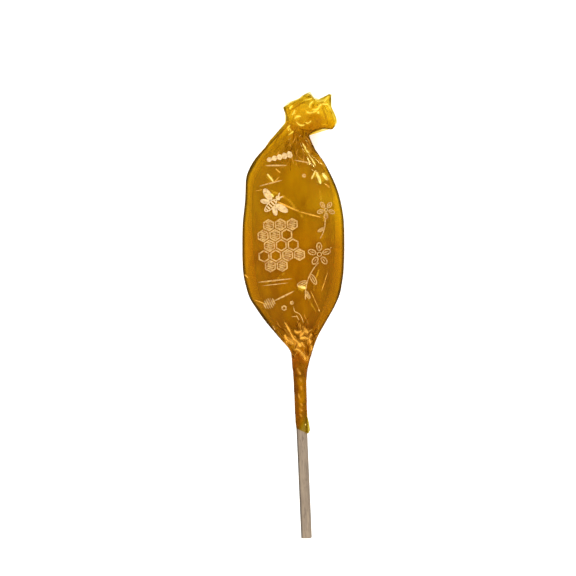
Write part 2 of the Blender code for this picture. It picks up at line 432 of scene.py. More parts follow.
def facets(flat, spacing, seed):
    """Lifts from -1 to 1 of a sheet crumpled into flat three-sided facets about as wide as the spacing."""
    draw = random.Random(seed)
    low = flat.min(axis=0) - 2 * spacing
    count = np.ceil((flat.max(axis=0) + 2 * spacing - low) / spacing).astype(int) + 1
    corners = []
    for i in range(count[0]):
        for j in range(count[1]):
            x = low[0] + spacing * (i + draw.uniform(-0.4, 0.4))
            y = low[1] + spacing * (j + draw.uniform(-0.4, 0.4))
            corners.append(Vector((x, y, draw.uniform(-1, 1))))
    sides = []
    for i in range(count[0] - 1):
        for j in range(count[1] - 1):
            a = i * count[1] + j
            b = a + count[1]
            ring = (a, b, b + 1, a + 1) if draw.random() < 0.5 else (b, b + 1, a + 1, a)
            sides += [(ring[0], ring[1], ring[2]), (ring[0], ring[2], ring[3])]
    sheet = BVHTree.FromPolygons(corners, sides)
    down = Vector((0, 0, -1))
    return np.array([sheet.ray_cast(Vector((x, y, 5)), down)[0].z for x, y in flat])


def heading(turn):
    """A step of one in a direction seen from above."""
    return np.array((math.cos(turn), math.sin(turn)))


def fan_of_creases(draw, centre, facing, spread, count, reach, half_width, height):
    """Creases that run out of a gathered place: start, end, half width and height of each."""
    made = []
    for i in range(count):
        way = heading(facing + spread * (2 * (i + draw.uniform(0.1, 0.9)) / count - 1))
        start = centre + way * draw.uniform(0.5, 5.0)
        end = start + way * draw.uniform(*reach)
        made.append((start, end, draw.uniform(*half_width), draw.choice((-1, 1)) * draw.uniform(*height)))
    return made


# Creases of the upper side: (across, along) of both ends, half width, height, and how wide its painted
# highlight is.
UPPER_CREASES_AND_HIGHLIGHTS = (
    ((4.8, 148.1), (9.7, 138.8), 0.8, 0.42, 0.55),
    ((9.6, 137.7), (7.6, 134.0), 0.7, 0.36, 0.50),
    ((9.6, 137.2), (11.2, 132.0), 0.9, 0.45, 1.00),
    ((11.8, 136.5), (14.0, 133.4), 1.1, 0.50, 1.10),
    ((12.8, 132.3), (14.6, 130.7), 0.8, 0.35, 0.70),
    ((-8.8, 137.0), (-6.3, 133.5), 1.0, 0.50, 0.55),
    ((-6.3, 133.5), (-4.0, 135.7), 0.6, 0.32, 0.40),
    ((-5.7, 138.8), (-3.6, 136.8), 0.7, 0.35, 0.45),
    ((-13.6, 130.7), (-10.5, 131.1), 0.6, 0.32, 0.30),
    ((-9.9, 129.8), (-8.4, 128.0), 0.9, 0.45, 0.80),
    ((-7.8, 129.5), (-6.6, 127.9), 0.8, 0.40, 0.60),
    ((-6.0, 126.5), (3.0, 122.0), 0.9, 0.34, 0.75),
    ((2.5, 122.2), (11.1, 119.6), 0.9, 0.30, 0.60),
    ((0.6, 94.6), (4.3, 93.5), 0.9, 0.50, 0.90),
    ((-16.1, 90.4), (-9.5, 87.5), 0.6, 0.34, 0.35),
    ((-19.0, 99.9), (-17.2, 98.1), 0.6, 0.35, 0.50),
    ((5.4, 92.9), (8.8, 84.4), 0.9, 0.28, 0.35),
    ((12.5, 100.0), (9.5, 91.9), 0.9, 0.28, 0.35),
    ((-4.9, 81.7), (-1.8, 75.5), 0.7, 0.32, 0.45),
)
# Creases of the collar that only lift it, as their painted highlights are drawn apart.
COLLAR_RIDGES = (
    ((0.5, 75.4), (5.1, 77.1), 0.8, 0.40),
    ((5.1, 77.1), (5.6, 72.2), 0.8, 0.35),
    ((-5.1, 76.1), (0.7, 71.7), 0.9, 0.40),
    ((-3.0, 73.5), (2.5, 70.0), 0.8, 0.35),
)
# Creases that run out of the neck and the collar: from where, which way, how far to the sides and how many,
# and how long, how wide to a side and how high the least and the greatest are.
NECK_FAN = ((NECK_SHIFT, NECK), math.radians(-92), 1.25, 22, (6, 24), (0.5, 1.2), (0.05, 0.20))
COLLAR_FAN = ((0.5, COLLAR - 2), math.radians(90), 0.85, 18, (8, 22), (0.6, 1.3), (0.05, 0.20))
# How wide the film's crumpled facets are, and how far they lift.
CRUMPLES = ((8.0, 0.20), (3.6, 0.13), (1.7, 0.06))
STRAY_CREASES = 16
DEEPEST_DENT = 0.3

draw = random.Random(FILM_SEED)
rows = points_of(film.data)
normals = np.array([vertex.normal[:] for vertex in film.data.vertices])
flat = (rows[:, :2] - np.array(place(0, 0))[:2]) / MM
height = (rows[:, 2] - AXIS_Z) / MM
lift = np.zeros(len(rows))
folded = np.zeros(len(rows))
for side in (1, -1):
    ours = height * side >= 0
    here = flat[ours]
    along = here[:, 1]
    shoulder = smooth_step(along, 124, 142)
    taper = smooth_fall(along, 74, 94)
    sleeve = smooth_fall(along, SLEEVE_TOP, COLLAR + 4)
    tuft = smooth_step(along, NECK - 1, NECK + 5)
    loose = (0.35 + 0.45 * np.maximum(shoulder, taper)) * (1 - 0.95 * sleeve) * (1 + 1.6 * tuft)
    here_lift = sum(depth * facets(here, width, draw.random()) for width, depth in CRUMPLES) * loose
    here_folded = np.zeros(len(here))
    for row in fan_of_creases(draw, *NECK_FAN) + fan_of_creases(draw, *COLLAR_FAN):
        added, under = crease(here, *row, sharp_start=True)
        here_lift += added
        here_folded += under
    for _ in range(STRAY_CREASES):
        start = np.array((draw.uniform(-16, 16), draw.uniform(80, 144)))
        way = heading(draw.uniform(0, math.pi))
        end = start + draw.uniform(4, 12) * way
        added, under = crease(here, start, end, draw.uniform(0.6, 1.3), draw.uniform(-0.25, 0.30))
        here_lift += added
        here_folded += 0.6 * under
    if side > 0:
        for row in UPPER_CREASES_AND_HIGHLIGHTS + COLLAR_RIDGES:
            added, under = crease(here, *row[:4])
            here_lift += added
            here_folded += 0.5 * under
    lift[ours] = here_lift
    folded[ours] = here_folded
# The long sides stay smooth, as the film is drawn tight over them.
across, along = flat.T
over_sweet = (along > SWEET_START) & (along < SWEET_END)
lift = np.where(over_sweet, np.maximum(lift, -DEEPEST_DENT), lift)
in_tuft = smooth_step(along, NECK, NECK + 4)
lift *= np.maximum(smooth_step(np.abs(height), 0.0, 1.8), in_tuft)

# Round the stick the sheet is wound in a spiral, so that its edge runs round as a low step.
WINDING_PITCH = 8.5
WINDING_STEP = 0.09
WINDING_OVERLAP = 0.4
SLEEVE_GRIP = 0.3
turned = np.arctan2(height, across) / (2 * math.pi)
winding = np.mod(along / WINDING_PITCH + turned, 1.0)
wound = smooth_fall(along, SLEEVE_TOP, COLLAR + 6)
lift += wound * WINDING_STEP * (0.5 - winding)
# It grips the stick closer than the frame's solid, which keeps a gap for its socket.
lift -= SLEEVE_GRIP * smooth_fall(along, SLEEVE_TOP - 4, SLEEVE_TOP + 4)

rows += normals * (lift * MM)[:, None]
# Smoothing has drawn in the tuft's lower right corner. It is pushed out again, and rounded: each push has
# a place, how far round it is felt, and how far it goes.
CORNER_PUSHES = (((16.2, 154.0), 1.9, (0.1, -0.9)), ((17.8, 154.1), 0.9, (-0.5, 0.4)))
for corner, felt, push in CORNER_PUSHES:
    at_corner = np.exp(-((flat - corner) ** 2).sum(axis=1) / felt**2)
    rows[:, :2] += at_corner[:, None] * np.array(push) * MM
rows[:, 2] = np.maximum(rows[:, 2], 0)
move_points(film.data, rows)

# How much film lies on each place: one slack sheet over the sweet and more where it is gathered.
BAG_LAYERS = 1.35
UNDER_LAYERS = 0.35
COLLAR_LAYERS = 0.4
SLEEVE_LAYERS = 0.78
OVERLAP_LAYERS = 0.4
SLEEVE_END_LAYERS = 0.4
TUFT_LAYERS = 0.53
FOLD_LAYERS = 0.5
FIN_LAYERS = 0.45
# And how much less where it is drawn tight: at the neck's left, towards the tuft and at the right side.
NECK_THINNING = 0.3
UPPER_THINNING = 0.3
RIGHT_THINNING = 0.2
# The middle of the tuft's folds, and how far round it they are felt, as (across, along) squared.
FOLDS_MIDDLE = (10.7, 156.4)
FOLDS_REACH = (9.0, 4.0)
BAG_CRUSHING = 0.03


def total(*rows):
    """The sum of several amounts, each times how far it counts at every point."""
    return sum(amount * share for amount, share in rows)


gathered = smooth_step(along, 136, NECK) * smooth_fall(along, NECK, NECK + 5)
overlap = smooth_step(winding, 1 - WINDING_OVERLAP, 1.0)
neck_right = smooth_step(across, -2, 3)
upper = smooth_step(along, 110, 124)
right_side = smooth_step(across, 7, 11) * smooth_step(along, 106, 114) * smooth_fall(along, 126, 134)
layers_and_shade = BAG_LAYERS + total(
    (FOLD_LAYERS, folded * (1 - 0.7 * gathered)),
    (-NECK_THINNING, gathered * (1 - neck_right)),
    (-UPPER_THINNING, upper * (1 - 0.5 * gathered)),
    (-RIGHT_THINNING, right_side),
    # The sheet's two sides meet in a seam along the underside.
    (UNDER_LAYERS, smooth_fall(height, -1.5, 0.0)),
    (COLLAR_LAYERS, smooth_fall(along, 66, 90)),
    (SLEEVE_LAYERS - COLLAR_LAYERS, wound),
    (OVERLAP_LAYERS, wound * overlap),
)
# In the tuft it lies in facets, with most folds at the middle, and the right-hand point is rolled up tight.
middle_patch = np.exp(-((flat - FOLDS_MIDDLE) ** 2 / FOLDS_REACH).sum(axis=1))
faceted = np.zeros(len(rows))
faceted[in_tuft > 0] = facets(flat[in_tuft > 0], 2.2, FILM_SEED)
fin = in_tuft * smooth_step(across, 13.2, 14.6) * smooth_step(along, 160.8, 162.4)
layers_and_shade += (TUFT_LAYERS - layers_and_shade) * in_tuft
layers_and_shade += total(
    (0.16, in_tuft * smooth_fall(across, 2, 8)),
    (0.06, in_tuft * smooth_step(across, 12, 16)),
    (0.50, in_tuft * middle_patch),
    (0.18, in_tuft * faceted),
    (FIN_LAYERS, fin),
    # The winding is thickest where it starts, below the collar. Down its left side the extra film
    # is painted shade, darkening that side where shade falls.
    (0.75, wound * smooth_step(-across, 0.0, 1.6)),
    (0.40, wound * smooth_step(along, 58, 62)),
)
# It ends in one sheet.
one_sheet = smooth_fall(along - 1.3 * across, 40.5, 45.0)
layers_and_shade += (SLEEVE_END_LAYERS - layers_and_shade) * one_sheet
# How crushed it is there, as the share of light that its fine creases scatter back.
column = smooth_fall(np.abs(across - 0.4), 0.2, 1.6) * smooth_fall(along, 56, 62)
crushed = BAG_CRUSHING + total(
    (0.12, gathered + in_tuft),
    (0.40, smooth_fall(along, 68, 80) * (1 - 0.4 * wound)),
    (0.05, folded + wound * overlap),
    # Down the middle of the winding the haze is a painted sheen, lighter where the rounded sleeve faces the
    # lights.
    (0.15, wound * column),
)
crushed *= 1 - 0.8 * one_sheet
# Where it turns back on itself at the bag's two sides and is seen on edge, it is dark.
turned_back = smooth_fall(np.abs(height), 0.2, 0.9) * (1 - in_tuft) * (0.85 - 0.45 * wound)
crushed *= 1 - 0.8 * turned_back
# The sheet's edge round the tuft is a dark line too.
CUT_EDGE_DARK = 0.55
TUFT_CENTRE = (8.2, 158.0)
TUFT_OUTLINE = (
    (-7.9, -3.6), (-9.2, -1.8), (-10.3, 0.7), (-9.4, 2.5), (-5.3, 5.6), (-4.1, 7.5), (-2.5, 8.9), (-0.5, 7.2),
    (2.2, 7.0), (4.4, 9.9), (5.8, 10.2), (6.0, 7.0), (8.0, 3.9), (9.8, 2.1), (10.6, 0.6), (10.4, -0.9),
    (9.6, -2.0), (8.2, -2.7), (5.0, -3.9), (2.8, -5.1),
)


def tuft_place(across, up):
    """Where a point of the tuft is, from its distances along the tuft's chord and above it."""
    return (
        TUFT_CENTRE[0] + across * math.cos(TUFT_LEAN) + up * math.sin(TUFT_LEAN),
        TUFT_CENTRE[1] - across * math.sin(TUFT_LEAN) + up * math.cos(TUFT_LEAN),
    )


def distance_to(flat, line):
    """How far points seen from above are from a bent line."""
    nearest = np.full(len(flat), np.inf)
    for start, end in zip(line, line[1:]):
        span = np.subtract(end, start)
        step = np.clip((flat - start) @ span / (span @ span), 0, 1)
        nearest = np.minimum(nearest, np.hypot(*(flat - start - step[:, None] * span).T))
    return nearest


to_outline = distance_to(flat, [tuft_place(*point) for point in TUFT_OUTLINE])
edge_and_shade_dark = np.maximum(turned_back, CUT_EDGE_DARK * in_tuft * smooth_fall(to_outline, 0.2, 1.0))
# Folds and gathered places are darker as well, from the many faces that light meets in them. The tuft's left
# side and its tip are painted shade, and the upper belly, the taper, the bag's sides by it and the winding's
# start are darkened too.
dulling_and_shade = total(
    (0.08, gathered * neck_right),
    (0.25, np.minimum(folded, 1) * (1 - 0.7 * in_tuft)),
    (0.14, upper * (1 - gathered) * (1 - in_tuft) * (1 - right_side)),
    (0.28, fin),
    (0.12, in_tuft * smooth_fall(across, -1, 2)),
    (0.24, smooth_step(along, 161, 164)),
    # The taper is darkened most at its left and right, and the winding where it starts.
    (0.10, smooth_fall(along, 78, 100)),
    (0.12, smooth_fall(along, 78, 100) * smooth_fall(across, -4, 4)),
    (0.15, smooth_step(across, 8, 14) * smooth_fall(along, 92, 106)),
    (0.12, smooth_step(-across, 8, 14) * smooth_fall(along, 96, 110)),
    (0.10, wound * smooth_step(along, 56, 62)),
)
edge_and_shade_dark = np.minimum(edge_and_shade_dark + dulling_and_shade, 1)
store_on_points(film.data, "film_layers_and_shade", layers_and_shade)
store_on_points(film.data, "film_haze_and_sheen", crushed)
store_on_points(film.data, "film_darkening", edge_and_shade_dark)

# The share of red, green and blue light that one layer of the film lets through.
FILM_TINT = (0.795, 0.590, 0.032)
MOST_LAYERS = 8.0
TINT_STEPS = 16
GLOSS_TINT = "#ffe690"
HAZE = "#ffdc48"
EDGE_SHADE = "#95926a"
CRACKLE_WIDTH = 2.4 * MM
RIPPLE_WIDTH = 1.6 * MM
MOTTLE_WIDTH = 2.6 * MM


def amber_cellophane(name, gloss_facing):
    """Clear amber cast film: coloured by the thickness that light passes, darkened at its edges and by
    painted shade, hazy where crushed and where a sheen is painted, and glossy.
    """
    made, tree = new_material(name)
    spot = add_node(tree, "TexCoord").outputs["Object"]
    crackle = add_node(
        tree, "TexVoronoi", {"Vector": spot}, {"Scale": 1 / CRACKLE_WIDTH}, feature="DISTANCE_TO_EDGE"
    )
    ripple = add_node(tree, "TexNoise", {"Vector": spot}, {"Scale": 1 / RIPPLE_WIDTH, "Detail": 3.0})
    crinkle = add_node(
        tree, "Math", {0: crackle.outputs["Distance"], 1: ripple.outputs["Fac"]}, operation="ADD"
    )
    relief = add_node(tree, "Bump", {"Height": crinkle}, {"Strength": 0.15, "Distance": 0.25 * MM})
    layer_attribute = add_node(tree, "Attribute", attribute_name="film_layers_and_shade")
    depth = add_node(tree, "Math", {0: layer_attribute.outputs["Fac"]}, {1: MOST_LAYERS}, operation="DIVIDE")
    tint = add_node(tree, "ValToRGB", {"Fac": depth})
    depths = [i / TINT_STEPS for i in range(TINT_STEPS + 1)]
    tints = [(*(part ** (MOST_LAYERS * i) for part in FILM_TINT), 1.0) for i in depths]
    set_stops(tint.color_ramp, list(zip(depths, tints)))
    turned_away = add_node(tree, "LayerWeight", values={"Blend": 0.5})
    edge_on = add_node(tree, "Math", {0: turned_away.outputs["Facing"]}, {1: 4.0}, operation="POWER")
    darkening_attribute = add_node(tree, "Attribute", attribute_name="film_darkening")
    darkening_share = add_node(tree, "Math", {0: edge_on, 1: darkening_attribute.outputs["Fac"]}, operation="MAXIMUM")
    darkened_tint = add_node(
        tree,
        "Mix",
        {"Factor": darkening_share, 6: tint.outputs["Color"]},
        {7: linear(EDGE_SHADE)},
        data_type="RGBA",
        blend_type="MULTIPLY",
    )
    clear = add_node(tree, "BsdfTransparent", {"Color": darkened_tint.outputs[2]})
    haze_tint = add_node(
        tree,
        "Mix",
        {6: tint.outputs["Color"]},
        {"Factor": 1.0, 7: linear(HAZE)},
        data_type="RGBA",
        blend_type="MULTIPLY",
    )
    haze = add_node(tree, "BsdfDiffuse", {"Color": haze_tint.outputs[2]})
    haze_and_sheen_attribute = add_node(tree, "Attribute", attribute_name="film_haze_and_sheen")
    mottle = add_node(tree, "TexNoise", {"Vector": spot}, {"Scale": 1 / MOTTLE_WIDTH, "Detail": 4.0})
    mottle_share = add_node(
        tree,
        "MapRange",
        {"Value": mottle.outputs["Fac"]},
        {"From Min": 0.38, "From Max": 0.62, "To Min": 0.65, "To Max": 1.35},
    )
    haze_share = add_node(tree, "Math", {0: haze_and_sheen_attribute.outputs["Fac"], 1: mottle_share}, operation="MULTIPLY")
    body = add_node(tree, "MixShader", {0: haze_share, 1: clear, 2: haze})
    mirror = add_node(
        tree, "BsdfAnisotropic", {"Normal": relief}, {"Color": linear(GLOSS_TINT), "Roughness": 0.09}
    )
    facing = add_node(tree, "LayerWeight", {"Normal": relief}, {"Blend": 0.5})
    gloss_rise = add_node(tree, "Math", {0: facing.outputs["Facing"]}, {1: 5.0}, operation="POWER")
    gloss_share = add_node(
        tree, "Math", {0: gloss_rise}, {1: 0.9, 2: gloss_facing}, operation="MULTIPLY_ADD"
    )
    surface = add_node(tree, "MixShader", {0: gloss_share, 1: body, 2: mirror})
    finish_material(tree, surface)
    return made


OUTER_FILM = amber_cellophane("amber_cellophane", gloss_facing=0.077)
# Folds that lie inside the film are matt from rubbing on each other.
INNER_FILM = amber_cellophane("rubbed_amber_cellophane", gloss_facing=0.02)
film.data.materials.append(OUTER_FILM)
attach(film, "root")
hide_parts("wrapper")


# Inside the collar the same film is bunched up round the stick, in sharp pleats that show through the
# outer sheet. It is pressed from a tube that follows the bag and is held by the winding below it.
GATHER_START = 63.5
GATHER_END = 77.0
GATHER_PLEATS = 11
GATHER_FIT = 0.74
CLEAR_OF_STICK = 2.3
# How much film it adds, and how crushed it is, where it has come out of the winding.
GATHER_LAYERS = 0.2
GATHER_CRUSHING = 0.15


def reach_of_bag(along, angle):
    """How far the bag's inside is from the stick's axis, in a direction round it."""
    start = place(0, along)
    way = Vector((math.cos(angle), 0, math.sin(angle)))
    return film_sides.ray_cast(start, way)[3] / MM


film_sides = BVHTree.FromObject(film, bpy.context.evaluated_depsgraph_get())
bpy.ops.mesh.primitive_grid_add(x_subdivisions=180, y_subdivisions=56, size=2)
gathers_inside = bpy.context.object
gathers_inside.name = "collar_gathers"
grid = points_of(gathers_inside.data)
draw = random.Random(FILM_SEED)
pleat_drift = draw.uniform(0, 2 * math.pi)
made = []
for across, up, _ in grid:
    angle = math.pi * across
    along = GATHER_START + (GATHER_END - GATHER_START) * (up + 1) / 2
    wave = math.sin(GATHER_PLEATS * angle + pleat_drift + 0.9 * math.sin(along / 3.1))
    pleat = 1 - 0.16 * abs(wave) - 0.05 * math.sin(5 * angle + along / 1.7)
    reach = max(CLEAR_OF_STICK, GATHER_FIT * reach_of_bag(along, angle) * pleat)
    made.append(place(reach * math.cos(angle), along, reach * math.sin(angle)))
move_points(gathers_inside.data, made)
bpy.ops.object.mode_set(mode="EDIT")
bpy.ops.mesh.select_all(action="SELECT")
bpy.ops.mesh.remove_doubles(threshold=0.005 * MM)
bpy.ops.mesh.normals_make_consistent(inside=False)
bpy.ops.object.mode_set(mode="OBJECT")
bpy.ops.object.shade_smooth()
lengthwise = points_of(gathers_inside.data)[:, 1]
come_out = smooth_step(lengthwise, place(0, GATHER_START).y, place(0, GATHER_START + 3).y)
store_on_points(gathers_inside.data, "film_layers_and_shade", GATHER_LAYERS * come_out)
store_on_points(gathers_inside.data, "film_haze_and_sheen", GATHER_CRUSHING * come_out)
gathers_inside.data.materials.append(INNER_FILM)
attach(gathers_inside, "root")


# The tuft is more than its two outer sheets: the film's inner folds stand between them as ruffled fans,
# each with its own torn edge, and all of them are held together by the twist at the neck.
# Where a fan's foot is, as (across, along), and half its width.
FAN_FOOT = (4.2, 151.0, 2.6)
# Height above the middle, number of ruffles, and the outline as (across, up) points of the tuft.
TUFT_FANS = (
    (0.8, 6.0, TUFT_OUTLINE),
    (-0.8, 4.0, (
        (-8.6, -3.9), (-9.8, 0.0), (-7.0, 3.4), (-3.6, 4.4), (-2.0, 7.6), (0.8, 5.0), (3.2, 6.4), (5.4, 4.2),
        (7.6, 3.6), (9.9, 0.8), (8.0, -1.6), (4.6, -3.6), (2.6, -5.0),
    )),
)
FAN_LAYERS = 0.31
FAN_CRUSHING = 0.02
FAN_CRUMPLING = 0.35
FAN_SEED = 21
# How wide its flat sheet is to each side, for facets of two widths.
FAN_REACH = 8
FAN_FACETS = (3.4, 1.6)


def ruffled_fan(name, outline, foot, level, ruffles, fan_layers, crumpling, seed):
    """A fan of film whose foot is a short line and whose far edge follows (across, along) points."""
    bpy.ops.mesh.primitive_grid_add(x_subdivisions=150, y_subdivisions=60, size=2)
    fan = bpy.context.object
    fan.name = name
    grid = points_of(fan.data)
    foot_across, foot_along, foot_reach = foot
    steps = np.hypot(*np.diff(np.array(outline), axis=0).T)
    travelled = np.concatenate(([0], np.cumsum(steps))) / steps.sum()
    sheet = grid[:, :2] * FAN_REACH
    coarse, fine = (facets(sheet, width, seed + i) for i, width in enumerate(FAN_FACETS))
    made = []
    for (across, up, _), bump in zip(grid, coarse + 0.5 * fine):
        share = (up + 1) / 2
        round_edge = (across + 1) / 2
        edge_across = float(np.interp(round_edge, travelled, [p[0] for p in outline]))
        edge_along = float(np.interp(round_edge, travelled, [p[1] for p in outline]))
        ruffle = math.sin(math.pi * ruffles * across + level) * (0.2 + 0.5 * share)
        lift = 0.5 * ruffle + crumpling * bump * share
        aside = across * foot_reach
        bottom_across = foot_across + aside * math.cos(NECK_LEAN)
        bottom_along = foot_along - aside * math.sin(NECK_LEAN)
        bottom = place(bottom_across, bottom_along, 0.6 * level + 0.5 * lift)
        made.append(bottom.lerp(place(edge_across, edge_along, level + lift), share))
    move_points(fan.data, made)
    bpy.ops.object.shade_smooth()
    from_foot = smooth_step(grid[:, 1], -1.0, -0.5)
    near_foot = smooth_fall(grid[:, 1], -0.2, 0.5)
    store_on_points(fan.data, "film_layers_and_shade", fan_layers * from_foot * (1 + 0.3 * near_foot))
    store_on_points(fan.data, "film_haze_and_sheen", FAN_CRUSHING * from_foot * (1 + near_foot))
    store_on_points(fan.data, "film_darkening", 0.6 * CUT_EDGE_DARK * smooth_step(grid[:, 1], 0.86, 0.96))
    fan.data.materials.append(INNER_FILM)
    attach(fan, "root")
    return fan


for number, (level, ruffles, outline) in enumerate(TUFT_FANS):
    name = f"tuft_fan_{number + 1}"
    edge = [tuft_place(*point) for point in outline]
    ruffled_fan(name, edge, FAN_FOOT, level, ruffles, FAN_LAYERS, FAN_CRUMPLING, FAN_SEED + 2 * number)


# The sheet's corner sticks out of the winding's end, at the stick's right, as a small curled tab. It is
# a fan of the same film, with its foot inside the winding.
TAB_FOOT = (1.0, 46.0, 1.3)
TAB_OUTLINE = (
    (0.2, 41.6), (0.8, 40.1), (1.4, 39.2), (2.5, 39.4), (3.1, 40.4), (2.95, 42.0), (2.8, 43.4), (2.4, 45.2),
)
tab = ruffled_fan(
    "sleeve_tab", TAB_OUTLINE, TAB_FOOT, level=1.7, ruffles=1.5, fan_layers=0.7, crumpling=0.12, seed=41
)
# Beside the stick it is darker.
beside_stick = smooth_step((points_of(tab.data)[:, 0] - AXIS_X) / MM, 1.6, 2.2)
tab.data.attributes["film_darkening"].data.foreach_set("value", 0.1 + 0.65 * beside_stick)


# Along the film's sharpest creases, thin bright strips are painted highlights, with a faint painted sheen
# over a wider strip round them. Dark strips are partly film folded flat and partly painted shade. All of
# these are flat strips that are pressed onto the film from above, so they follow its ridges.
SHAPE_HEIGHT = 20.0
FINEST_EDGE = 0.5 * MM
MOST_CUTS = 6


def flat_shape(sides, centre, length, width, turn=0.0, stroke=0.0):
    """A flat polygon or oval above the bag, its length along the turn, or only a rim of it that wide."""
    bpy.ops.mesh.primitive_circle_add(
        vertices=sides, radius=length / 2 * MM, fill_type="NGON", enter_editmode=True
    )
    bpy.ops.transform.resize(value=(1, width / length, 1))
    if stroke:
        bpy.ops.mesh.inset(thickness=stroke * MM)
        bpy.ops.mesh.delete(type="FACE")
    else:
        bpy.ops.mesh.poke()
    bpy.ops.object.mode_set(mode="OBJECT")
    shape = bpy.context.object
    shape.location = place(*centre, SHAPE_HEIGHT)
    shape.rotation_euler.z = turn
    return shape


def flat_line(sides, start, end, width):
    """A flat shape that reaches from one point to another: a strip of 4 sides tapers to both ends."""
    span = np.subtract(end, start)
    middle = np.add(start, end) / 2
    return flat_shape(sides, middle, math.hypot(*span), width, math.atan2(span[1], span[0]))


def press_on_film(shapes, name, gap):
    """Joins flat shapes, cuts them fine and presses them down on the film. What is beside it goes."""
    bpy.ops.object.select_all(action="DESELECT")
    for shape in shapes:
        shape.select_set(True)
    joined = shapes[0]
    bpy.context.view_layer.objects.active = joined
    bpy.ops.object.join()
    bpy.ops.object.transform_apply(location=True, rotation=True, scale=True)
    joined.name = name
    bpy.ops.object.mode_set(mode="EDIT")
    bpy.ops.mesh.select_mode(type="EDGE")
    bpy.ops.mesh.select_all(action="SELECT")
    bpy.ops.mesh.normals_make_consistent(inside=False)
    for _ in range(MOST_CUTS):
        bpy.ops.mesh.select_all(action="DESELECT")
        bpy.ops.object.mode_set(mode="OBJECT")
        points = points_of(joined.data)
        for edge in joined.data.edges:
            a, b = edge.vertices
            edge.select = math.dist(points[a], points[b]) > FINEST_EDGE
        bpy.ops.object.mode_set(mode="EDIT")
        bpy.ops.mesh.subdivide(number_cuts=1)
    bpy.ops.mesh.select_mode(type="VERT")
    bpy.ops.object.mode_set(mode="OBJECT")
    pressed = joined.modifiers.new("pressed", "SHRINKWRAP")
    pressed.target = film
    pressed.wrap_method = "PROJECT"
    pressed.use_project_z = True
    pressed.use_negative_direction = True
    pressed.use_positive_direction = False
    pressed.wrap_mode = "ABOVE_SURFACE"
    pressed.offset = gap
    bpy.ops.object.modifier_apply(modifier="pressed")
    still_above = place(0, 0, SHAPE_HEIGHT - 1).z
    for vertex in joined.data.vertices:
        vertex.select = vertex.co.z > still_above
    bpy.ops.object.mode_set(mode="EDIT")
    bpy.ops.mesh.delete(type="VERT")
    bpy.ops.object.mode_set(mode="OBJECT")
    bpy.ops.object.shade_smooth()
    return joined


RIBBON_ROWS = 24
BEND_REACH = 0.4
HIGHLIGHT_PATCH = 2.2 * MM


def ribbon(points, width, material):
    """A flat strip along a bent line of (across, along) points, thinner at its ends, fainter at its edges."""
    bpy.ops.mesh.primitive_grid_add(x_subdivisions=2, y_subdivisions=RIBBON_ROWS, size=2)
    strip = bpy.context.object
    aside, lengthwise, _ = points_of(strip.data).T
    line = np.array(points)
    travelled = np.concatenate(([0], np.cumsum(np.hypot(*np.diff(line, axis=0).T))))
    here = travelled[-1] * (lengthwise + 1) / 2
    before, at, after = (
        np.column_stack([np.interp(here + step, travelled, column) for column in line.T])
        for step in (-BEND_REACH, 0, BEND_REACH)
    )
    way = after - before
    square = np.column_stack((-way[:, 1], way[:, 0])) / np.hypot(*way.T)[:, None]
    half_width = width / 2 * (0.1 + 0.9 * np.sqrt(1 - lengthwise**2))
    flat_rows = (before + at + after) / 3 + square * (aside * half_width)[:, None]
    move_points(strip.data, [place(x, y, SHAPE_HEIGHT) for x, y in flat_rows])
    store_on_points(strip.data, "fade", (1 - np.abs(aside)) * np.clip(3 * (1 - np.abs(lengthwise)), 0, 1))
    strip.data.materials.append(material)
    return strip


def soft_share(tree, crispness):
    """How much of a ribbon is there, from nothing at its edges: the crisper, the sooner it is whole."""
    fade = add_node(tree, "Attribute", attribute_name="fade")
    return add_node(tree, "MapRange", {"Value": fade.outputs["Fac"]}, {"From Max": 1 - crispness})


def painted_highlight_film(name, shade, share, crispness):
    """Painted highlight on the cellophane: pale along a crease, in patches that hide this share of what is
    below.
    """
    highlight_material, tree = new_material(name)
    spot = add_node(tree, "TexCoord").outputs["Object"]
    patches = add_node(tree, "TexNoise", {"Vector": spot}, {"Scale": 1 / HIGHLIGHT_PATCH, "Detail": 1.0})
    patch_share = add_node(
        tree,
        "MapRange",
        {"Value": patches.outputs["Fac"]},
        {"From Min": 0.38, "From Max": 0.62, "To Min": share - 0.2, "To Max": share + 0.2},
    )
    there = soft_share(tree, crispness)
    hidden = add_node(tree, "Math", {0: patch_share, 1: there}, operation="MULTIPLY")
    clear = add_node(tree, "BsdfTransparent")
    pale = add_node(tree, "BsdfDiffuse", values={"Color": linear(shade)})
    sheer = add_node(tree, "MixShader", {0: hidden, 1: clear, 2: pale})
    finish_material(tree, sheer)
    return highlight_material


# Painted highlights and sheens: each kind's shade, how much of what is below it hides, and how crisp its
# edges are.
CREAM_HIGHLIGHT = painted_highlight_film("cream_painted_highlight", "#ffe07c", 0.75, 0.6)
TAN_HIGHLIGHT = painted_highlight_film("tan_painted_highlight", "#f6c470", 0.60, 0.4)
YELLOW_HIGHLIGHT = painted_highlight_film("yellow_painted_highlight", "#ffe45c", 0.65, 0.1)
ORANGE_HIGHLIGHT = painted_highlight_film("orange_painted_highlight", "#ffbc48", 0.60, 0.1)
DULL_HIGHLIGHT = painted_highlight_film("dull_painted_highlight", "#ffb440", 0.32, 0.0)
FAINT_YELLOW_SHEEN = painted_highlight_film("faint_yellow_painted_sheen", "#ffce28", 0.30, 0.0)
FAINT_ORANGE_SHEEN = painted_highlight_film("faint_orange_painted_sheen", "#f0a028", 0.34, 0.0)
FAINT_GOLDEN_SHEEN = painted_highlight_film("faint_golden_painted_sheen", "#f0b428", 0.20, 0.0)

